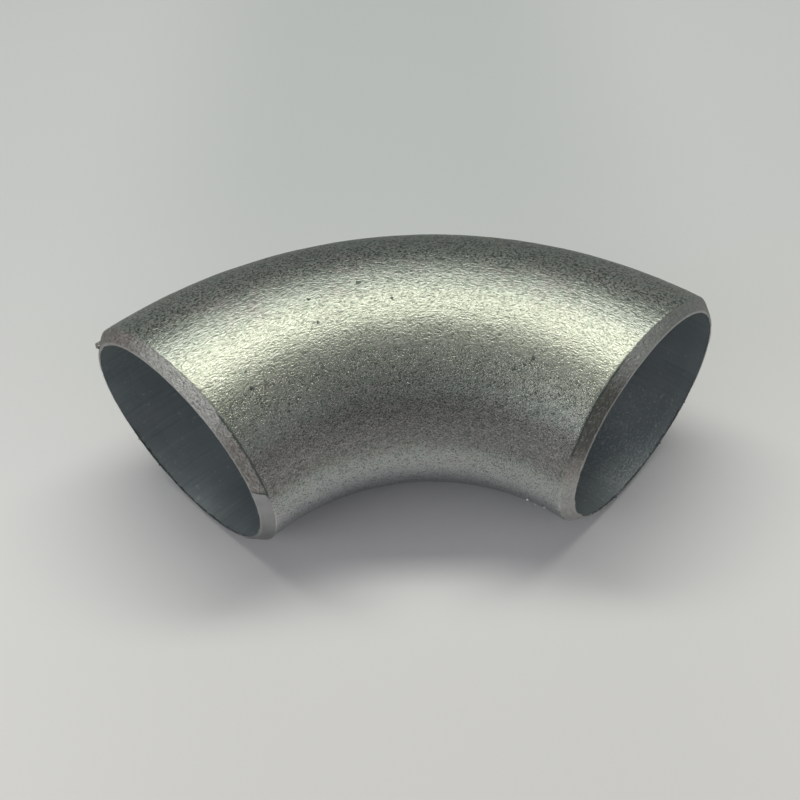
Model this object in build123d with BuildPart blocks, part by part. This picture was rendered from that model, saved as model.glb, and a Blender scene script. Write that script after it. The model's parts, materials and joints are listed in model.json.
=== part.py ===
"""A butt weld elbow: a quarter turn of steel pipe with its ends bevelled for welding.

The elbow is one piece, hot-bent from a length of tube and coated with zinc. It lies flat, with its
bend level, as it comes to rest on a bench. One weld end faces -Y and the other faces -X. The origin
is on the surface that the elbow rests on, under the middle of the elbow's bounding box.
All lengths are in millimetres and all angles in degrees.
"""

import os
from math import radians, tan

from build123d import *

# Driving dimensions of the pipe
outside_diameter = 60.3
wall = 2.9
bend_radius = 76.0  # from the bend axis to the pipe's centreline
bend_angle = 90.0

# Driving dimensions of the weld ends
root_face = 0.6  # width of the flat ring that is left round the bore
bevel_angle = 45.0  # from the end plane to the bevel
edge_rounding = 0.15  # radius that the zinc coat gives both edges of the bevel

# Radii that follow from the pipe
outside_radius = outside_diameter / 2
bore_radius = outside_radius - wall
root_radius = bore_radius + root_face

# The bend axis stands upright, at equal distances behind the origin along X and Y
bend_reach = (bend_radius + outside_radius) / 2
bend_centre = Vector(-bend_reach, -bend_reach, outside_radius)
bend_axis = Axis(bend_centre, (0, 0, 1))


def weld_end(turn, way_out):
    """Plane of a weld end, turned round the bend axis: X away from that axis and Z out of the pipe."""
    outward = Vector(1, 0, 0).rotate(Axis.Z, turn)
    along_pipe = Vector(0, way_out, 0).rotate(Axis.Z, turn)
    return Plane(origin=bend_centre + outward * bend_radius, x_dir=outward, z_dir=along_pipe)


weld_ends = [weld_end(turn=0, way_out=-1), weld_end(turn=bend_angle, way_out=1)]

with BuildPart() as elbow:
    # The pipe wall, carried round the bend from the first end to the second
    with BuildSketch(weld_ends[0]) as pipe_section:
        Circle(outside_radius)
        Circle(bore_radius, mode=Mode.SUBTRACT)
    revolve(axis=bend_axis, revolution_arc=bend_angle)

    # The weld bevels: a ring of waste is turned off round each end's own axis. It is drawn a wall's
    # thickness past the metal, outwards and beyond the end plane, so that the cut runs clear
    waste_radius = outside_radius + wall
    waste_depth = (waste_radius - root_radius) * tan(radians(bevel_angle))
    for end in weld_ends:
        with BuildSketch(Plane(origin=end.origin, x_dir=end.x_dir, z_dir=-end.y_dir)) as waste_section:
            with BuildLine() as waste_outline:
                Polyline(
                    (root_radius, 0),
                    (waste_radius, -waste_depth),
                    (waste_radius, wall),
                    (root_radius, wall),
                    close=True,
                )
            make_face()
        revolve(axis=Axis(end.origin, end.z_dir), mode=Mode.SUBTRACT)

    # The coat rounds both edges of each bevel. The bore's edge, the shortest ring at each end, is sharp
    ring_edges = elbow.edges().filter_by(lambda edge: edge.is_closed).sort_by(SortBy.LENGTH)
    fillet(ring_edges[len(weld_ends) :], edge_rounding)

elbow.part.label = "elbow"

os.makedirs("parts", exist_ok=True)
export_step(elbow.part, "parts/elbow.step")
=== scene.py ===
"""The looks of a butt weld elbow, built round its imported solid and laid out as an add-on.

The elbow is a quarter turn of zinc-coated steel pipe that lies on a pale bench. The first weld end
faces -Y and the second faces -X. Places on the pipe are given by two angles: along the bend, from
the first end to the second, and round the pipe, from the outside of the bend over the top.

Lengths are in metres, in the solid's own frame, and in millimetres where a comment or a name ending
in mm says so. Angles are in degrees in the tables and the materials, and in radians elsewhere.
"""

import json
import math
from collections import namedtuple

import bmesh
import bpy
from mathutils import Matrix, Vector, noise
from mathutils.kdtree import KDTree


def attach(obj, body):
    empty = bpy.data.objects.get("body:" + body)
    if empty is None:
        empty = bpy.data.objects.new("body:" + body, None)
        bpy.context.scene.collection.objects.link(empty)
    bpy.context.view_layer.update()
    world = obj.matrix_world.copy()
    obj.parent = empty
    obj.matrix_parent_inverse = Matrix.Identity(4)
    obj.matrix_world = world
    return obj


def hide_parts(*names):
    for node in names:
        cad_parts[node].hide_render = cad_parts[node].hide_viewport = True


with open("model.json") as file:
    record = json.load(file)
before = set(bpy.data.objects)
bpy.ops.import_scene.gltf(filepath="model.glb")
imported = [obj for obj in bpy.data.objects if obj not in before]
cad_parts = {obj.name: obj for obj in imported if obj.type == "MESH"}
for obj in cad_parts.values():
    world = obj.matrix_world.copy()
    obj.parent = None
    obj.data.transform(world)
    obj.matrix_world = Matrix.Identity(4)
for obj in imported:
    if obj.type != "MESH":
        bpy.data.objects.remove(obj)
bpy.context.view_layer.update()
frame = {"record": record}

bl_info = {
    "name": "Butt weld elbow",
    "version": (1, 0, 0),
    "blender": (4, 5, 0),
    "location": "3D View > Sidebar > Weld elbow",
    "description": "Builds a zinc-coated butt weld elbow, its finishes and a pale bench under soft light",
    "category": "Add Mesh",
}

MM = 0.001
ONE_DEGREE = math.radians(1)
QUARTER_TURN = math.radians(90)

# The bend, read from the first weld end's mount: its end plane and its centreline
first_centre_x, first_plane_y = frame["record"]["mounts"][0]["pos_m"][:2]
bend_reach = -first_plane_y
bend_radius = first_centre_x + bend_reach
outside_radius = 2 * bend_reach - bend_radius
bend_centre = Vector((-bend_reach, -bend_reach, outside_radius))

# The order of the piece's finishes, and how far from the outside a face still counts as skin
SKIN, BEVEL, BORE = range(3)
ON_SKIN = 0.12 * MM

# How far into the bore the ragged rim reaches
RIM_DEPTH = 0.4 * MM

# The vertex attribute with the distance from the nearer bevel's outer edge, in millimetres
FROM_EDGE = "from_edge"

# Marks on the skin: angles in degrees, widths in millimetres
Mark = namedtuple("Mark", "along around width")
PITS = (
    Mark(79.1, 126.3, 0.9),
    Mark(53.0, 95.8, 0.8),
    Mark(61.9, 110.7, 0.6),
    Mark(62.1, 99.1, 0.6),
    Mark(47.6, 105.7, 0.6),
    Mark(18.6, 126.1, 0.8),
    Mark(19.9, 129.3, 0.6),
    Mark(21.9, 132.4, 0.8),
    Mark(12.3, 207.1, 0.8),
)
BEADS = (
    Mark(13.3, 204.5, 1.1),
    Mark(11.6, 211.1, 0.9),
    Mark(8.4, 205.2, 0.9),
    Mark(2.9, 193.3, 0.7),
)

# Burrs on the rims: end 0 or 1, the angle round it in degrees, radius and width in millimetres.
# The first is a larger nodule.
Burr = namedtuple("Burr", "end around radius width")
BURRS = (
    Burr(1, 31.0, 28.9, 1.7),
    Burr(1, 322.0, 28.1, 0.7),
    Burr(1, 314.0, 29.0, 0.6),
    Burr(1, 305.0, 27.4, 0.5),
    Burr(0, 257.6, 27.2, 0.7),
    Burr(0, 326.0, 27.1, 0.6),
    Burr(0, 300.0, 27.2, 0.5),
)

# How high beads and burrs stand, as shares of their width
BEAD_HEIGHT = 0.4
BURR_HEIGHT = 0.5

# How uneven they are: how far they swell, how quickly that changes, and the seed of the first burr
LUMP_SWELL = 0.35
LUMP_SWELL_PITCH = 1.3
FIRST_BURR_SEED = 20

# The three lobes that a chuck leaves in each bevel: their height in millimetres and where one is
Lobes = namedtuple("Lobes", "height around")
CHUCK_LOBES = (Lobes(0.40, 125.0), Lobes(0.15, 130.0))
LOBE_COUNT = 3

# Where a bevel's outer edge is worn: its depth in millimetres and its reach each way in degrees
Worn = namedtuple("Worn", "end around depth reach")
WORN = (Worn(0, 44.0, 0.5, 26.0),)

# Waves of noise round an end: the chatter in a bevel's outer edge and the nicks in the root face
CHATTER_WAVES = (14, 60)
NICK_WAVES = (150, 50)
WAVES_ROUND_UNIT_CIRCLE = 6

# Where the rows of that noise start, and how far apart they are
NOISE_ROW_START = 2.1
NOISE_ROW_GAP = 7.3

# The nicks: how deep they are, in edge wanders, and the row of noise for each edge of the root face
NICK_DEPTH = 10
ROOT_NICK_ROW = 8
RIM_NICK_ROW = 4

# How many steps find the angle where a bevel starts
START_STEPS = 5

# The slow waves in the wall: how long they are, and the fractal's fall, its step and its octaves
WAVE_LENGTH = 7 * MM
WAVE_FRACTAL = (1.0, 2.0, 3)

# How many times longer than wide the drawn grain of the skin and the turned grain of a bevel are
GRAIN_STRETCH = 2.4

# The step across the second bevel: its angle at the outer edge, and how it leans towards the bore
STEP_AROUND = 169.2
STEP_LEAN = 1.1

# Bands where a finish changes or where light or shade is painted: their limits round the pipe, and how soft
# those are, in degrees
Band = namedtuple("Band", "low high soft")
FLECKED = Band(58.0, 84.0, 10.0)
# The lamp's tint, painted on the lit side below the top of the bend
LIT_SIDE_TINT = Band(100.0, 140.0, 8.0)
# Painted shade between the top and the inner side
SHADED = Band(122.0, 146.0, 8.0)
# A duller, pinkish band that also carries painted shade
INNER_DULL_AND_SHADE = Band(148.0, 172.0, 6.0)
# Painted light across the second bevel
LIT_BEVEL = Band(82.0, 134.0, 10.0)
DULL_BEVEL = Band(60.0, 158.0, 8.0)
GREY_BEVEL = Band(46.0, 118.0, 12.0)
FIRST_CRACK = Band(112.0, 160.0, 6.0)
SECOND_CRACK = Band(127.0, 171.0, 3.0)
LOWER_RIM = Band(205.0, 335.0, 12.0)
COARSE_BORE = Band(245.0, 320.0, 25.0)
TORN_RIM = Band(222.0, 325.0, 12.0)

# The middle of the bend, as a band along it, where shade is painted on the skin
MIDDLE = Band(14.0, 70.0, 14.0)

# Slow changes round the pipe: the angles, in degrees, where each is nothing and where it is whole
TURNED_IN = (95.0, 142.0)
OUTSIDE_ABOVE = (93.0, 68.0)
OUTSIDE_BELOW = (267.0, 292.0)
THROAT_ABOVE = (171.0, 194.0)
THROAT_BELOW = (262.0, 240.0)
LOWER_BEVEL = (163.0, 177.0)
BEFORE_OUTSIDE = (350.0, 290.0)

# The same along the bend: the second half of it, and the stretch next to the first end
SECOND_HALF = (40.0, 50.0)
NEAR_FIRST_END = (20.0, 6.0)

# Lamps: the turn and tilt of the way to each from the elbow, in degrees, how far off it is, its
# length and width, and the brightness that a mirror would show
Strip = namedtuple("Strip", "name turn tilt distance length width radiance colour")
STRIPS = (
    Strip("ceiling_strip", 43.0, 74.5, 1.0, 1.30, 0.20, 8.0, (1.0, 1.0, 0.88)),
    Strip("left_fill", 165.0, 28.0, 0.5, 0.35, 0.25, 1.4, (1.0, 1.0, 1.0)),
    Strip("right_fill", -75.0, 28.0, 0.5, 0.35, 0.25, 0.5, (1.0, 1.0, 1.0)),
)

# The brightness of the room's four pale parts
CEILING_LEVEL = 0.41
NEAR_CEILING_LEVEL = 0.40
FAR_WALL_LEVEL = 0.28
NEAR_WALL_LEVEL = 0.14

# The camera: its azimuth, elevation and roll in degrees, the point that it aims at, and its shift
CAMERA_ANGLES = (-47.9, 48.9, -1.04)
CAMERA_AIM = Vector((1.78 * MM, -8.36 * MM, outside_radius))
CAMERA_SHIFT = (-0.05, -0.032)
SENSOR_WIDTH_MM = 36

BENCH_RADIUS = 2.5


class ElbowSizes(bpy.types.PropertyGroup):
    """Sizes of the pipe wall, its weld ends and its surface."""

    wall: bpy.props.FloatProperty(
        name="Wall",
        description="Thickness of the pipe wall",
        default=2.9 * MM,
        unit="LENGTH",
    )
    root_face: bpy.props.FloatProperty(
        name="Root face",
        description="Width of the flat ring that is left round the bore",
        default=0.6 * MM,
        unit="LENGTH",
    )
    bevel_angle: bpy.props.FloatProperty(
        name="Bevel angle",
        description="Angle from the end plane to the weld bevel",
        default=math.radians(45),
        subtype="ANGLE",
    )
    edge_rounding: bpy.props.FloatProperty(
        name="Edge rounding",
        description="How far the zinc coat rounds both edges of the bevel",
        default=0.15 * MM,
        unit="LENGTH",
    )
    waviness: bpy.props.FloatProperty(
        name="Waviness",
        description="Height of the slow waves that hot bending leaves in the wall",
        default=0.05 * MM,
        unit="LENGTH",
    )
    edge_wander: bpy.props.FloatProperty(
        name="Edge wander",
        description="How far the ground edges of the weld ends wander",
        default=0.10 * MM,
        unit="LENGTH",
    )
    grain_depth: bpy.props.FloatProperty(
        name="Grain depth",
        description="Depth of the pebbled grain in the zinc coat",
        default=0.21 * MM,
        unit="LENGTH",
    )
    segments_round: bpy.props.IntProperty(
        name="Segments round",
        description="Number of faces round the pipe",
        default=480,
        min=24,
    )
    steps_outside: bpy.props.IntProperty(
        name="Steps outside",
        description="Number of faces along the outside of the bend",
        default=118,
        min=12,
    )
    steps_bevel: bpy.props.IntProperty(
        name="Steps on a bevel",
        description="Number of faces across each bevel",
        default=5,
        min=1,
    )
    steps_bore: bpy.props.IntProperty(
        name="Steps in the bore",
        description="Number of faces along the bore",
        default=54,
        min=12,
    )


def colour_property(name, description, default):
    """A colour that the panel shows, with its linear red, green and blue."""
    return bpy.props.FloatVectorProperty(
        name=name,
        description=description,
        default=default,
        subtype="COLOR",
        min=0,
        max=1,
    )


class ZincColours(bpy.types.PropertyGroup):
    """Colours of the zinc coat on the skin, on the bevels and in the bore."""

    skin: colour_property("Skin", "Bright zinc on the outside", (0.41, 0.445, 0.41))
    skin_warm: colour_property("Warm patches", "Faintly brown patches on the outside", (0.42, 0.395, 0.39))
    # Painted light: the skin below the top of the bend takes the yellow-green of the ceiling strip's light.
    skin_lit_side_tint: colour_property("Olive side", "Skin below the top of the bend", (0.425, 0.445, 0.37))
    # A duller, pinkish coat that is also painted shade, standing for the dark side of the room that the
    # inner side reflects.
    skin_inner_dull_and_shade: colour_property("Inner side", "Duller band along the inner side", (0.215, 0.20, 0.197))
    # Painted reflection: the throat's skin is coloured much paler to stand for the pale bench that it
    # reflects.
    skin_throat_reflection: colour_property("Throat", "Smoother zinc in the throat of the bend", (0.82, 0.83, 0.84))
    # Painted highlight: the crests of the grain and the crumbs are made paler, as if they caught the light.
    crests: colour_property("Crests", "Worn crests of the grain and the crumbs", (0.8, 0.8, 0.8))
    # This colour paints real flecks, cracks and pits. It also paints shade in the hollows of the grain,
    # between the crumbs and in the shaded bands.
    pits: colour_property("Pits", "Hollows, flecks, cracks and pits", (0.095, 0.12, 0.112))
    bevel: colour_property("Bevel", "Thin zinc on the ground bevels", (0.37, 0.345, 0.335))
    bevel_dull: colour_property("Dull bevel", "First bevel where it has dulled", (0.15, 0.148, 0.138))
    bevel_grey: colour_property("Grey bevel", "First bevel over the top of the end", (0.46, 0.475, 0.465))
    bevel_smooth: colour_property("Smooth bevel", "Second bevel past its step", (0.375, 0.38, 0.385))
    # The rim's colour also makes the lower part of the first bevel paler and, as painted light, the lit band
    # across the second bevel.
    rim: colour_property("Rim", "Worn edge round the bore", (0.60, 0.60, 0.60))
    bore: colour_property("Bore", "Dull zinc in the bore", (0.315, 0.357, 0.382))
    bore_specks: colour_property("Specks in the bore", "Pale specks and drawing lines", (0.60, 0.64, 0.64))
    bore_edge: colour_property("Torn edge", "Torn lower edge of the bore", (0.05, 0.05, 0.05))


class StageSettings(bpy.types.PropertyGroup):
    """The bench and the camera."""

    bench: colour_property("Bench", "Bench behind the elbow", (0.605, 0.635, 0.66))
    # Painted light: these colour the bench paler in front of the elbow and far to both sides, as if more
    # light fell there.
    bench_near_painted_light: colour_property("Near side of the bench", "Bench in front of the elbow", (0.775, 0.77, 0.80))
    bench_aside_painted_light: colour_property("Sides of the bench", "Bench far to both sides", (0.95, 0.95, 0.98))
    camera_distance: bpy.props.FloatProperty(
        name="Camera distance",
        description="From the camera to the point that it aims at",
        default=224.5 * MM,
        unit="LENGTH",
    )
    focal_length: bpy.props.FloatProperty(
        name="Focal length",
        description="Focal length of the camera, in millimetres",
        default=41.7,
    )


class Wire:
    """An output socket that takes part in arithmetic. Each operation adds a Math node."""

    def __init__(self, shader, socket):
        self.shader = shader
        self.socket = socket

    def __add__(self, other):
        return self.shader.math("ADD", self, other)

    __radd__ = __add__

    def __sub__(self, other):
        return self.shader.math("SUBTRACT", self, other)

    def __rsub__(self, other):
        return self.shader.math("SUBTRACT", other, self)

    def __mul__(self, other):
        return self.shader.math("MULTIPLY", self, other)

    __rmul__ = __mul__

    def __pow__(self, other):
        return self.shader.math("POWER", self, other)

    def __abs__(self):
        return self.shader.math("ABSOLUTE", self)


class Shader:
    """A node tree for a material or a world, and the patterns that its finishes share."""

    def __init__(self, owner):
        owner.use_nodes = True
        self.owner = owner
        self.tree = owner.node_tree
        self.tree.nodes.clear()

    def node(self, kind, settings=None, inputs=None, output=0):
        """Add a node: its settings first, then the values or links of its sockets."""
        made = self.tree.nodes.new(kind)
        for name, value in (settings or {}).items():
            setattr(made, name, value)
        for name, value in (inputs or {}).items():
            if isinstance(value, Wire):
                self.tree.links.new(value.socket, made.inputs[name])
            else:
                made.inputs[name].default_value = value
        return Wire(self, made.outputs[output]) if made.outputs else None

    def math(self, operation, *values):
        return self.node("ShaderNodeMath", {"operation": operation}, dict(enumerate(values)))

    def place_mm(self):
        """The place on the piece, in millimetres, as a vector."""
        place = self.node("ShaderNodeTexCoord", output="Object")
        return self.node("ShaderNodeVectorMath", {"operation": "SCALE"}, {0: place, "Scale": 1 / MM})

    def vector(self, x, y, z):
        return self.node("ShaderNodeCombineXYZ", None, {0: x, 1: y, 2: z})

    def axis(self, vector, name):
        return self.node("ShaderNodeSeparateXYZ", None, {0: vector}, name)

    def noise(self, vector, size, detail=2.0, roughness=0.5, distortion=0.0):
        """Soft noise from 0 to 1 whose features are about the given size across."""
        inputs = {
            "Vector": vector,
            "Scale": 1 / size,
            "Detail": detail,
            "Roughness": roughness,
            "Distortion": distortion,
        }
        return self.node("ShaderNodeTexNoise", None, inputs, "Fac")

    def smooth(self, value, start, end, out_start=0.0, out_end=1.0):
        """Carry a value smoothly from one range to another, held at both ends."""
        inputs = {"Value": value, 1: start, 2: end, 3: out_start, 4: out_end}
        return self.node("ShaderNodeMapRange", {"interpolation_type": "SMOOTHSTEP"}, inputs)

    def band(self, value, limits):
        """1 where a value is inside a band and 0 outside it, with soft ends."""
        low, high, soft = limits
        return self.smooth(value, low - soft, low + soft) * self.smooth(value, high + soft, high - soft)

    def mix_colour(self, factor, first, second):
        inputs = {0: factor, 6: self.as_colour(first), 7: self.as_colour(second)}
        return self.node("ShaderNodeMix", {"data_type": "RGBA"}, inputs, 2)

    @staticmethod
    def as_colour(value):
        return value if isinstance(value, Wire) else (*value, 1.0)

    def bump(self, height, distance):
        inputs = {"Height": height, "Distance": distance, "Strength": 1.0}
        return self.node("ShaderNodeBump", None, inputs)

    def metal(self, colour, roughness, normal, metallic=1.0):
        """Finish the material as metal, which darkens a little where it is seen at a glancing angle."""
        inputs = {
            "Base Color": colour,
            "Metallic": metallic,
            "Roughness": roughness,
            "Specular Tint": (0.5, 0.5, 0.5, 1.0),
            "Normal": normal,
        }
        return self.finish(self.node("ShaderNodeBsdfPrincipled", None, inputs))

    def finish(self, surface, output="ShaderNodeOutputMaterial"):
        """Give the surface to the output, and return the material or the world."""
        self.node(output, None, {"Surface": surface})
        return self.owner


def new_shader(name):
    return Shader(bpy.data.materials.new(name))


def wall_angles(shader):
    """The angles along the bend and round the pipe, in degrees from 0 to 360, of a shaded place."""
    place = shader.node("ShaderNodeTexCoord", output="Object")
    offset = shader.node("ShaderNodeVectorMath", {"operation": "SUBTRACT"}, {0: place, 1: bend_centre})
    x, y, height = (shader.axis(offset, name) for name in "XYZ")
    reach = (x * x + y * y) ** 0.5
    along = shader.math("ARCTAN2", y, x) * (1 / ONE_DEGREE)
    around = shader.math("ARCTAN2", height, reach - bend_radius) * (1 / ONE_DEGREE)
    return along, shader.math("FLOORED_MODULO", around, 360.0)


def sunk_spots(shader, place, marks):
    """1 on small marks at fixed places on the skin, each with its angles and its width."""
    ragged = (shader.noise(place, 0.35) - 0.5) * 1.1
    total = 0.0
    for mark in marks:
        centre = on_pipe(math.radians(mark.along), math.radians(mark.around), outside_radius) / MM
        away = shader.node("ShaderNodeVectorMath", {"operation": "DISTANCE"}, {0: place, 1: centre}, "Value")
        total = shader.smooth(away + ragged, mark.width * 0.7, mark.width * 0.3) + total
    return total


def straight_pipe(shader, along, around):
    """The place, in millimetres, that a shaded place would have on a straight pipe, to draw grain on."""
    turn = around * ONE_DEGREE
    radius = outside_radius / MM
    along_mm = along * (ONE_DEGREE * bend_radius / MM / GRAIN_STRETCH)
    return shader.vector(shader.math("COSINE", turn) * radius, shader.math("SINE", turn) * radius, along_mm)


def skin_grain(shader, place, drawn, turned_in):
    """The coat's grain: drawn out along the outside of the bend and round along its inner side."""
    drawn_pebbles = shader.noise(drawn, 0.36, distortion=0.4)
    round_pebbles = shader.noise(place, 0.37, distortion=0.6)
    pebbles = drawn_pebbles + (round_pebbles - drawn_pebbles) * turned_in
    wrinkles = shader.noise(drawn, 1.0, distortion=0.8)
    return pebbles * 0.75 + wrinkles * 0.25


def zinc_skin(sizes, colours):
    """The bright outside: a pebbled, leathery grain with dark flecks and faint patches of colour, with
    painted shade, painted highlights on the grain, a painted reflection in the throat and the lamp's tint
    painted on the lit side.
    """
    shader = new_shader("zinc_skin")
    place = shader.place_mm()
    along, around = wall_angles(shader)
    turned_in = shader.smooth(around, *TURNED_IN)
    outside_bend = shader.smooth(around, *OUTSIDE_ABOVE) + shader.smooth(around, *OUTSIDE_BELOW)
    throat = shader.smooth(around, *THROAT_ABOVE) * shader.smooth(around, *THROAT_BELOW)
    grain = skin_grain(shader, place, straight_pipe(shader, along, around), turned_in)
    pits = sunk_spots(shader, place, PITS)
    fleck_noise = shader.noise(place, 0.55, detail=3.0, roughness=0.65)
    fleck_share = 0.08 + outside_bend * 0.25 + shader.band(around, FLECKED) * 0.85
    flecks = shader.smooth(fleck_noise, 0.50, 0.57) * fleck_share

    clouds = shader.noise(place, 3.2, detail=3.0, roughness=0.6)
    warm = shader.smooth(clouds, 0.45, 0.62) * shader.smooth(shader.noise(place, 14.0), 0.40, 0.60)
    # Painted highlight on the grain's crests, and the outside of the bend made a little paler.
    crests = shader.smooth(grain, 0.48, 0.66, 0.0, 0.28) + outside_bend * 0.12
    # Painted shade: the hollows of the grain are made darker, in the pits' colour.
    painted_hollow_shade = shader.smooth(grain, 0.50, 0.34) * (0.52 + turned_in * 0.28)
    # Painted shade: the middle of the bend and the side between the top and the inner side are made darker.
    shade = (shader.band(along, MIDDLE) + shader.band(around, SHADED)) * 0.12
    dark = shader.math("MINIMUM", painted_hollow_shade + flecks + pits + shade, 0.92)
    colour = shader.mix_colour(warm * 0.7, colours.skin, colours.skin_warm)
    # Painted light: the lamp's yellow-green tint on the lit side.
    colour = shader.mix_colour(shader.band(around, LIT_SIDE_TINT) * 0.8, colour, colours.skin_lit_side_tint)
    # Painted shade on a duller coat: the inner side is made darker.
    colour = shader.mix_colour(shader.band(around, INNER_DULL_AND_SHADE) * 0.8, colour, colours.skin_inner_dull_and_shade)
    # Painted reflection: the throat is made paler, standing for the bench that it reflects.
    colour = shader.mix_colour(throat * 0.84, colour, colours.skin_throat_reflection)
    colour = shader.mix_colour(crests, colour, colours.crests)
    colour = shader.mix_colour(dark, colour, colours.pits)

    height = grain * (1.0 + turned_in * 0.12 - throat * 0.2) - pits * 0.5 - flecks * 0.3
    return shader.metal(colour, 0.39 - turned_in * 0.16, shader.bump(height, sizes.grain_depth))


def zinc_bevel(sizes, colours):
    """The ground bevels, where the coat is thin: crumbly or dull by turns, with cracks, a step, and a band
    of painted light across the second bevel.
    """
    shader = new_shader("zinc_bevel")
    place = shader.place_mm()
    along, around = wall_angles(shader)
    from_edge = shader.node("ShaderNodeAttribute", {"attribute_name": FROM_EDGE}, output="Fac")
    second = shader.smooth(along, *SECOND_HALF)
    first = 1.0 - second
    upward = shader.smooth(around, *BEFORE_OUTSIDE)
    turned_mm = around * (ONE_DEGREE * outside_radius / MM / GRAIN_STRETCH)
    turned = shader.vector(from_edge, turned_mm, along * 0.2)
    crumbs = shader.noise(turned, 0.36, detail=3.0, roughness=0.6, distortion=0.8)
    lumps = shader.noise(place, 1.1, distortion=0.8)
    ragged = shader.noise(place, 0.8, detail=3.0, roughness=0.6) - 0.5
    stain = shader.smooth(shader.noise(place, 3.0, detail=3.0), 0.35, 0.65)

    step_line = around - (STEP_AROUND + from_edge * STEP_LEAN) + ragged * 2.4
    past_step = shader.smooth(step_line, -0.3, 0.3) * second * upward
    step_edge = shader.smooth(abs(step_line), 0.8, 0.3) * second
    dull = shader.band(around, DULL_BEVEL) * first
    coarse = (1.0 - past_step) * (1.0 - first * 0.3 - dull * 0.2)
    cracked = shader.band(around, SECOND_CRACK) * second + shader.band(around, FIRST_CRACK) * first * 0.8
    crack = shader.smooth(abs(from_edge + 0.25 + ragged), 0.50, 0.15) * cracked

    lower = shader.smooth(around, *LOWER_BEVEL) * first * upward
    # Painted highlight on the crumbs' tops, with painted shade between them below.
    crumb_painted_light = shader.smooth(crumbs, 0.50, 0.66, 0.0, 0.45) * coarse
    crumb_shade = shader.smooth(crumbs, 0.34, 0.52, 0.5, 0.0) * coarse
    dark = shader.math("MINIMUM", crumb_shade + crack * 0.9 + step_edge * 0.8 + stain * 0.12, 0.9)
    on_root = shader.smooth(from_edge, -3.15, -3.35) * (0.5 - shader.band(around, LOWER_RIM) * 0.4)
    # Painted light: a lit band across the second bevel, in the rim's colour.
    colour = shader.mix_colour(shader.band(around, LIT_BEVEL) * second * 0.85, colours.bevel, colours.rim)
    colour = shader.mix_colour(dull, colour, colours.bevel_dull)
    colour = shader.mix_colour(shader.band(around, GREY_BEVEL) * first * 0.85, colour, colours.bevel_grey)
    colour = shader.mix_colour(past_step, colour, colours.bevel_smooth)
    colour = shader.mix_colour(lower * 0.75, colour, colours.rim)
    colour = shader.mix_colour(crumb_painted_light, colour, colours.crests)
    colour = shader.mix_colour(dark, colour, colours.pits)
    colour = shader.mix_colour(on_root, colour, colours.rim)

    height = (crumbs * 0.65 + lumps * 0.55) * (0.4 + coarse * 2.6) - crack * 0.5 - past_step * 0.4
    return shader.metal(colour, 0.40 + coarse * 0.1, shader.bump(height, sizes.grain_depth))


def zinc_bore(sizes, colours):
    """The bore, which the zinc hardly reaches: dull slate grey with drawing lines and pale specks."""
    shader = new_shader("zinc_bore")
    place = shader.place_mm()
    along, around = wall_angles(shader)
    round_mm = around * (ONE_DEGREE * (outside_radius - sizes.wall) / MM)
    bend_angle_mm = ONE_DEGREE * bend_radius / MM
    drawn = shader.vector(round_mm, along * (bend_angle_mm * 0.05), 0.0)
    lines = shader.noise(drawn, 0.9, detail=3.0, roughness=0.6)
    grain = shader.noise(place, 0.6, detail=3.0, roughness=0.6)
    clouds = shader.smooth(shader.noise(place, 9.0), 0.35, 0.65)
    pale = shader.smooth(shader.noise(place, 1.5, roughness=0.6), 0.63, 0.72)
    coarse = shader.band(around, COARSE_BORE) * shader.smooth(along, *NEAR_FIRST_END)
    sparks = shader.smooth(grain, 0.52, 0.66) * coarse
    light = pale * 0.45 + sparks * 0.65 + clouds * 0.12 + shader.smooth(lines, 0.5, 0.75) * 0.2
    ragged = shader.noise(place, 0.8, detail=3.0, roughness=0.7) - 0.5
    from_mouth_mm = shader.math("MINIMUM", along, 90.0 - along) * bend_angle_mm + ragged * 2.2
    torn_edge = shader.smooth(from_mouth_mm, 0.5, 0.2) * shader.band(around, TORN_RIM)
    colour = shader.mix_colour(shader.math("MINIMUM", light, 1.0), colours.bore, colours.bore_specks)
    colour = shader.mix_colour(shader.smooth(lines, 0.45, 0.30) * 0.2, colour, colours.pits)
    colour = shader.mix_colour(torn_edge * 0.55, colour, colours.bore_edge)
    height = grain * (0.5 + coarse * 1.6) + lines * 0.3
    return shader.metal(colour, 0.45, shader.bump(height, sizes.grain_depth * 0.5), metallic=0.5)


def on_pipe(along, around, radius):
    """The place at two angles and a radius from the pipe's centreline."""
    reach = bend_radius + radius * math.cos(around)
    height = radius * math.sin(around)
    return bend_centre + Vector((reach * math.cos(along), reach * math.sin(along), height))


def pipe_angles(place):
    """The angles along the bend and round the pipe of a place in the wall."""
    offset = place - bend_centre
    reach = math.hypot(offset.x, offset.y)
    return math.atan2(offset.y, offset.x), math.atan2(offset.z, reach - bend_radius)


def tube_radius(place):
    """How far a place is from the pipe's centreline."""
    offset = place - bend_centre
    return math.hypot(math.hypot(offset.x, offset.y) - bend_radius, offset.z)


def ring_noise(around, row, waves):
    """Noise from -1 to 1 that runs round an end and meets itself, with about so many waves."""
    scale = waves / WAVES_ROUND_UNIT_CIRCLE
    height = NOISE_ROW_GAP * row + NOISE_ROW_START
    return noise.noise(Vector((math.cos(around) * scale, math.sin(around) * scale, height)))


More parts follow.
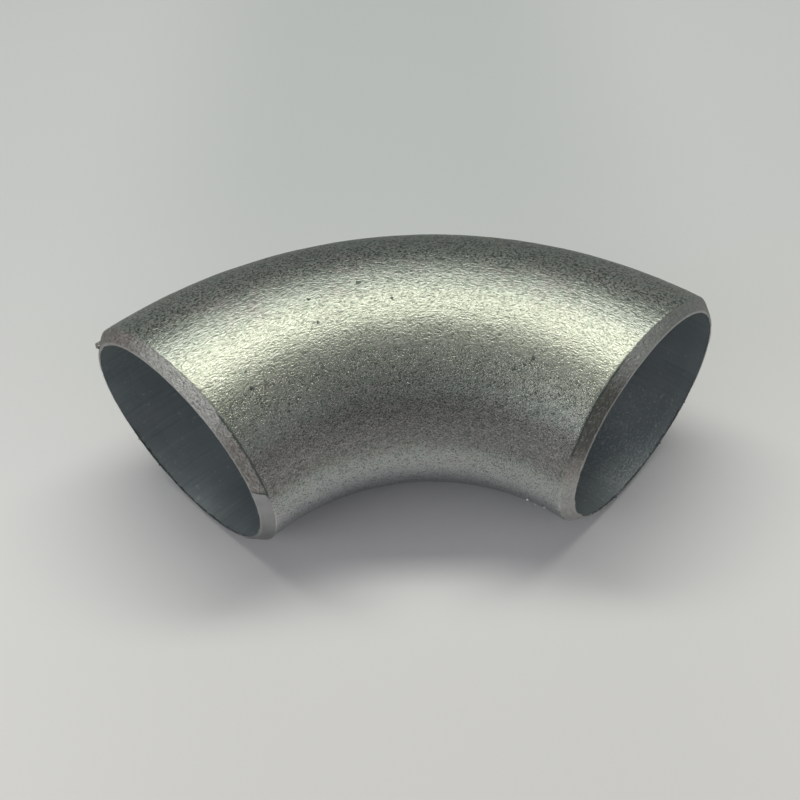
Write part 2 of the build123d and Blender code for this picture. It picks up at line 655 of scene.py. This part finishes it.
class WeldEnd:
    """One end of the pipe: where its bevel starts and how ragged the rim of its bore is."""

    def __init__(self, index, sizes):
        self.index = index
        self.sizes = sizes
        self.along = QUARTER_TURN * index
        self.bore_radius = outside_radius - sizes.wall
        self.root_radius = self.bore_radius + sizes.root_face
        self.lobes = CHUCK_LOBES[index]

    def inward(self, angle):
        """The angle along the bend that is so far in from this end."""
        return abs(self.along - angle)

    def worn(self, around):
        """How much deeper the bevel's outer edge lies where it is worn, in millimetres."""
        total = 0.0
        for place in WORN:
            away = abs(math.degrees(around) - place.around) / place.reach
            if place.end == self.index and away < 1:
                total += place.depth * math.cos(away * QUARTER_TURN) ** 2
        return total

    def wander(self, around):
        """How much deeper than drawn the bevel is cut: the chuck's lobes, wear and fine chatter."""
        lobes = self.lobes.height * math.cos(LOBE_COUNT * (around - math.radians(self.lobes.around)))
        chatter = sum(ring_noise(around, self.index, waves) for waves in CHATTER_WAVES)
        return (lobes + self.worn(around)) * MM + chatter * self.sizes.edge_wander

    def start(self, around):
        """The angle from the end to where the bevel's cone leaves the outside of the pipe."""
        reach = bend_radius + outside_radius * math.cos(around)
        height = outside_radius * math.sin(around)
        wander = self.wander(around)
        angle = 0.0
        for _ in range(START_STEPS):
            across = math.hypot(reach * math.cos(angle) - bend_radius, height)
            depth = (across - self.root_radius) * math.tan(self.sizes.bevel_angle) + wander
            angle = math.asin(depth / reach)
        return angle

    def end_angle(self, place):
        """The angle round the end's own axis of a place near the end."""
        outward = Vector((math.cos(self.along), math.sin(self.along), 0))
        offset = place - bend_centre - outward * bend_radius
        return math.atan2(offset.z, offset.dot(outward))

    def nick(self, around, row):
        """How deeply an edge of the root face is nicked: more over the lower half of the end."""
        tooth = sum(ring_noise(around, self.index + row, waves) for waves in NICK_WAVES)
        lower = 0.6 - 0.5 * math.sin(around)
        depth = max(tooth, 0.0) * lower * self.sizes.edge_wander * NICK_DEPTH
        return min(depth, self.sizes.root_face / 2)

    def on_bevel(self, place, share):
        """A place on the bevel: share 0 is its outer edge and 1 is the root face, which is nicked."""
        around = pipe_angles(place)[1]
        edge = on_pipe(self.inward(self.start(around)), around, outside_radius)
        turn = self.end_angle(edge)
        nick = self.nick(turn, ROOT_NICK_ROW) if share == 1 else 0.0
        return edge.lerp(on_pipe(self.along, turn, self.root_radius - nick), share)

    def on_face(self, around, radius):
        """A place on the bevel or, inside it, on the root face, at a radius from the end's axis."""
        depth = max(radius - self.root_radius, 0.0) * math.tan(self.sizes.bevel_angle)
        inwards = Vector((-math.sin(self.along), math.cos(self.along), 0)) * (1 - 2 * self.index)
        return on_pipe(self.along, around, radius) + inwards * depth

    def on_rim(self, place):
        """A place on the bore's rim, which is ragged over the lower half of the end."""
        around = pipe_angles(place)[1]
        return on_pipe(self.along, around, self.bore_radius - self.nick(around, RIM_NICK_ROW))

    def behind_rim(self, place):
        """The place in the bore beside a place on the rim, just as deep as the ragged rim reaches."""
        around = pipe_angles(place)[1]
        reach = bend_radius + self.bore_radius * math.cos(around)
        return on_pipe(self.inward(RIM_DEPTH / reach), around, self.bore_radius)

    def from_edge(self, place):
        """How far a place is from the bevel's outer edge, negative on the bevel."""
        below = outside_radius - tube_radius(place)
        if below > ON_SKIN:
            return -below / math.cos(self.sizes.bevel_angle)
        along, around = pipe_angles(place)
        reach = bend_radius + outside_radius * math.cos(around)
        return (abs(along - self.along) - self.start(around)) * reach


def edge_loop(verts):
    """The edges whose two ends are both in a set of vertices."""
    inside = set(verts)
    edges = {edge for vert in inside for edge in vert.link_edges}
    return [edge for edge in edges if edge.verts[0] in inside and edge.verts[1] in inside]


def ring_circle(bm, segments, radius):
    """A ring of vertices round the pipe's centreline, in the first end's plane."""
    stand_up = Matrix.Rotation(QUARTER_TURN, 4, "X")
    centre = Matrix.Translation(bend_centre + Vector((bend_radius, 0, 0)))
    made = bmesh.ops.create_circle(bm, segments=segments, radius=radius, matrix=centre @ stand_up)
    return made["verts"]


def spin_ring(bm, verts, steps):
    """Carry a ring round the bend, and return the ring that it ends as."""
    made = bmesh.ops.spin(
        bm,
        geom=edge_loop(verts),
        cent=bend_centre,
        axis=(0, 0, 1),
        angle=QUARTER_TURN,
        steps=steps,
        use_merge=False,
    )
    return [item for item in made["geom_last"] if isinstance(item, bmesh.types.BMVert)]


def extrude_ring(bm, verts, move):
    """Extrude a ring once, and put each new vertex where move says."""
    made = bmesh.ops.extrude_edge_only(bm, edges=edge_loop(verts))
    ring = [item for item in made["geom"] if isinstance(item, bmesh.types.BMVert)]
    for vert in ring:
        vert.co = move(vert.co)
    return ring


def bend_skin(bm, sizes, ends):
    """Spin the skin round the bend and fit it between the two bevels. Returns its two end rings."""
    first = ring_circle(bm, sizes.segments_round, outside_radius)
    last = spin_ring(bm, first, sizes.steps_outside)
    starts = {}
    for vert in bm.verts:
        along, around = pipe_angles(vert.co)
        key = round(math.degrees(around), 2)
        if key not in starts:
            starts[key] = [end.start(around) for end in ends]
        first_start, second_start = starts[key]
        place = first_start + along / QUARTER_TURN * (QUARTER_TURN - first_start - second_start)
        vert.co = on_pipe(place, around, outside_radius)
    return first, last


def turn_end(bm, steps, end, ring):
    """Cut an end's bevel and root face on from the skin. Returns the bevel's inner ring and the rim."""
    for step in range(1, steps + 1):
        ring = extrude_ring(bm, ring, lambda place, share=step / steps: end.on_bevel(place, share))
    return ring, extrude_ring(bm, ring, end.on_rim)


def line_bore(bm, steps, ends, rims):
    """Spin the bore from a true circle at the first rim, and weld it to the second."""
    first_rim, second_rim = rims
    ragged_rim = [vert.co.copy() for vert in first_rim]
    for vert in first_rim:
        vert.co = on_pipe(0.0, pipe_angles(vert.co)[1], ends[0].bore_radius)
    far_rim = spin_ring(bm, first_rim, steps)
    for vert, place in zip(first_rim, ragged_rim):
        vert.co = place
    tree = KDTree(len(second_rim))
    for index, vert in enumerate(second_rim):
        tree.insert(vert.co, index)
    tree.balance()
    targets = {vert: second_rim[tree.find(vert.co)[1]] for vert in far_rim}
    bmesh.ops.weld_verts(bm, targetmap=targets)
    for end, rim in zip(ends, rims):
        beside = {edge.other_vert(vert) for vert in rim for edge in vert.link_edges} - set(rim)
        for vert in beside:
            if tube_radius(vert.co) < end.bore_radius + ON_SKIN:
                vert.co = end.behind_rim(vert.co)


def weld_pipe(bm, sizes, ends):
    """The pipe's closed skin with both weld ends. Returns the rings at both edges of each bevel."""
    edge_rings = []
    rims = []
    for end, outer_ring in zip(ends, bend_skin(bm, sizes, ends)):
        inner_ring, rim = turn_end(bm, sizes.steps_bevel, end, outer_ring)
        edge_rings += [outer_ring, inner_ring]
        rims.append(rim)
    for rim in rims:
        for edge in edge_loop(rim):
            edge.smooth = False
    line_bore(bm, sizes.steps_bore, ends, rims)
    return edge_rings


def roughen(bm, sizes):
    """Leave the slow waves of hot bending in the wall."""
    bm.normal_update()
    moves = []
    for vert in bm.verts:
        wave = noise.fractal(vert.co / WAVE_LENGTH, *WAVE_FRACTAL)
        moves.append(vert.normal * wave * sizes.waviness)
    for vert, move in zip(bm.verts, moves):
        vert.co += move


def add_lump(bm, place, out, width, height, seed):
    """A small lump of zinc that sits half in the wall and stands out of it by its height."""
    made = bmesh.ops.create_icosphere(bm, subdivisions=3, radius=1.0)
    turn = out.to_track_quat("Z", "Y").to_matrix()
    for vert in made["verts"]:
        swell = 1 + LUMP_SWELL * noise.noise(vert.co * LUMP_SWELL_PITCH + Vector((seed, 0, 0)))
        shape = Vector((vert.co.x * width / 2, vert.co.y * width / 2, vert.co.z * height)) * swell
        vert.co = place + turn @ shape


def add_lumps(bm, ends):
    """The beads of zinc on the skin, and the burrs and the nodule on the rims."""
    for seed, bead in enumerate(BEADS):
        along, around = math.radians(bead.along), math.radians(bead.around)
        place = on_pipe(along, around, outside_radius)
        out = place - on_pipe(along, around, 0.0)
        add_lump(bm, place, out, bead.width * MM, bead.width * BEAD_HEIGHT * MM, seed)
    for seed, burr in enumerate(BURRS, FIRST_BURR_SEED):
        end = ends[burr.end]
        around = math.radians(burr.around)
        place = end.on_face(around, burr.radius * MM)
        out = place - on_pipe(end.along, around, 0.0)
        add_lump(bm, place, out, burr.width * MM, burr.width * BURR_HEIGHT * MM, seed)


def mark_finishes(bm, ends):
    """Give each face its finish, and each vertex its distance from the nearer bevel's outer edge."""
    layer = bm.verts.layers.float.new(FROM_EDGE)
    for vert in bm.verts:
        end = ends[0] if pipe_angles(vert.co)[0] < QUARTER_TURN / 2 else ends[1]
        vert[layer] = end.from_edge(vert.co) / MM
    for face in bm.faces:
        face.smooth = True
        radii = [tube_radius(vert.co) for vert in face.verts]
        if min(radii) > outside_radius - ON_SKIN:
            face.material_index = SKIN
        elif max(radii) < ends[0].bore_radius + ON_SKIN:
            face.material_index = BORE
        else:
            face.material_index = BEVEL


class WELDELBOW_OT_pipe(bpy.types.Operator):
    """Build the elbow's pipe wall with its bevelled weld ends"""

    bl_idname = "weldelbow.pipe"
    bl_label = "Build the elbow"

    def execute(self, context):
        sizes = context.scene.weld_elbow_sizes
        colours = context.scene.weld_elbow_colours
        ends = [WeldEnd(index, sizes) for index in (0, 1)]
        bm = bmesh.new()
        for ring in weld_pipe(bm, sizes, ends):
            bmesh.ops.bevel(
                bm,
                geom=edge_loop(ring),
                offset=sizes.edge_rounding,
                offset_type="OFFSET",
                segments=2,
                profile=0.5,
                affect="EDGES",
                clamp_overlap=True,
                material=-1,
            )
        bmesh.ops.remove_doubles(bm, verts=bm.verts, dist=0.001 * MM)
        bmesh.ops.recalc_face_normals(bm, faces=bm.faces)
        roughen(bm, sizes)
        add_lumps(bm, ends)
        mark_finishes(bm, ends)
        mesh = bpy.data.meshes.new("elbow_wall")
        bm.to_mesh(mesh)
        bm.free()
        for finish in (zinc_skin, zinc_bevel, zinc_bore):
            mesh.materials.append(finish(sizes, colours))
        piece = bpy.data.objects.new("elbow_dressed", mesh)
        context.scene.collection.objects.link(piece)
        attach(piece, "root")
        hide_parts("elbow")
        return {"FINISHED"}


def room_world():
    """A dim room with a pale ceiling, which comes lower over the near side, and two pale walls."""
    shader = Shader(bpy.data.worlds.new("room"))
    way = shader.node("ShaderNodeTexCoord", output="Generated")
    height = shader.axis(way, "Z")
    away = (shader.axis(way, "X") + shader.axis(way, "Y")) * math.sqrt(0.5)
    ceiling = shader.smooth(height, 0.75, 0.92)
    near_ceiling = shader.smooth(height, 0.35, 0.60) * (1 - ceiling) * shader.smooth(away, -0.1, -0.6)
    far_wall = shader.smooth(height, 0.75, 0.35) * shader.smooth(away, 0.2, 0.9)
    near_wall = shader.smooth(height, 0.40, 0.10) * shader.smooth(away, 0.5, 0.0)
    upper = ceiling * CEILING_LEVEL + near_ceiling * NEAR_CEILING_LEVEL
    level = upper + far_wall * FAR_WALL_LEVEL + near_wall * NEAR_WALL_LEVEL
    background = shader.node("ShaderNodeBackground", None, {"Color": (1, 1, 1, 1), "Strength": level})
    return shader.finish(background, "ShaderNodeOutputWorld")


def bench_paper(settings):
    """Matt paper with painted light: a little paler on the near side and far to both sides."""
    shader = new_shader("bench_paper")
    place = shader.place_mm()
    x, y = (shader.axis(place, name) for name in "XY")
    away = (x + y) * math.sqrt(0.5)
    aside = (x - y) * math.sqrt(0.5)
    # Painted light: paler towards the near side, and far to both sides.
    colour = shader.mix_colour(shader.smooth(away, -90.0, 130.0), settings.bench_near_painted_light, settings.bench)
    colour = shader.mix_colour(shader.smooth(abs(aside), 30.0, 120.0) * 0.25, colour, settings.bench_aside_painted_light)
    inputs = {"Base Color": colour, "Roughness": 0.9, "Specular IOR Level": 0.2}
    return shader.finish(shader.node("ShaderNodeBsdfPrincipled", None, inputs))


def add_bench(scene, settings):
    """A round bench top that reaches far past the view."""
    bm = bmesh.new()
    bmesh.ops.create_circle(bm, cap_ends=True, segments=96, radius=BENCH_RADIUS)
    mesh = bpy.data.meshes.new("bench")
    bm.to_mesh(mesh)
    bm.free()
    mesh.materials.append(bench_paper(settings))
    bench = bpy.data.objects.new("bench", mesh)
    scene.collection.objects.link(bench)


def add_strip_light(scene, strip):
    """A level strip of light that faces the elbow."""
    light = bpy.data.lights.new(strip.name, "AREA")
    light.shape = "RECTANGLE"
    light.size = strip.length
    light.size_y = strip.width
    light.energy = strip.radiance * math.pi * strip.length * strip.width
    light.color = strip.colour
    lamp = bpy.data.objects.new(strip.name, light)
    turn, tilt = math.radians(strip.turn), math.radians(strip.tilt)
    way = Vector((math.cos(tilt) * math.cos(turn), math.cos(tilt) * math.sin(turn), math.sin(tilt)))
    level = Vector((math.sin(turn), -math.cos(turn), 0))
    axes = Matrix((level, way.cross(level), way)).transposed().to_4x4()
    lamp.matrix_world = Matrix.Translation(Vector((0, 0, outside_radius)) + way * strip.distance) @ axes
    scene.collection.objects.link(lamp)


def add_camera(scene, settings):
    """The camera, which looks down into the throat of the bend."""
    camera = bpy.data.objects.new("camera", bpy.data.cameras.new("camera"))
    camera.data.sensor_width = SENSOR_WIDTH_MM
    camera.data.lens = settings.focal_length
    camera.data.shift_x, camera.data.shift_y = CAMERA_SHIFT
    camera.data.clip_start = 1 * MM
    azimuth, elevation, roll = (math.radians(angle) for angle in CAMERA_ANGLES)
    level = math.cos(elevation)
    back = Vector((math.sin(azimuth) * level, -math.cos(azimuth) * level, math.sin(elevation)))
    turn = (-back).to_track_quat("-Z", "Y").to_matrix().to_4x4() @ Matrix.Rotation(roll, 4, "Z")
    camera.matrix_world = Matrix.Translation(CAMERA_AIM + back * settings.camera_distance) @ turn
    scene.collection.objects.link(camera)
    scene.camera = camera


class WELDELBOW_OT_stage(bpy.types.Operator):
    """Build the bench, the lights and the camera"""

    bl_idname = "weldelbow.stage"
    bl_label = "Build the stage"

    def execute(self, context):
        scene = context.scene
        scene.view_settings.view_transform = "Standard"
        scene.world = room_world()
        add_bench(scene, scene.weld_elbow_stage)
        for strip in STRIPS:
            add_strip_light(scene, strip)
        add_camera(scene, scene.weld_elbow_stage)
        return {"FINISHED"}


GROUPS = {
    "weld_elbow_sizes": ElbowSizes,
    "weld_elbow_colours": ZincColours,
    "weld_elbow_stage": StageSettings,
}


class WELDELBOW_PT_panel(bpy.types.Panel):
    """The elbow's sizes and colours, and the buttons that build it"""

    bl_label = "Weld elbow"
    bl_idname = "WELDELBOW_PT_panel"
    bl_space_type = "VIEW_3D"
    bl_region_type = "UI"
    bl_category = "Weld elbow"

    def draw(self, context):
        for name, group in GROUPS.items():
            box = self.layout.box()
            for setting in group.__annotations__:
                box.prop(getattr(context.scene, name), setting)
        for operator in (WELDELBOW_OT_pipe, WELDELBOW_OT_stage):
            self.layout.operator(operator.bl_idname)


CLASSES = (*GROUPS.values(), WELDELBOW_OT_pipe, WELDELBOW_OT_stage, WELDELBOW_PT_panel)


def register():
    for cls in CLASSES:
        bpy.utils.register_class(cls)
    for name, group in GROUPS.items():
        setattr(bpy.types.Scene, name, bpy.props.PointerProperty(type=group))


def unregister():
    for name in GROUPS:
        delattr(bpy.types.Scene, name)
    for cls in reversed(CLASSES):
        bpy.utils.unregister_class(cls)


def main():
    register()
    bpy.ops.weldelbow.stage()
    bpy.ops.weldelbow.pipe()


if __name__ == "__main__":
    main()
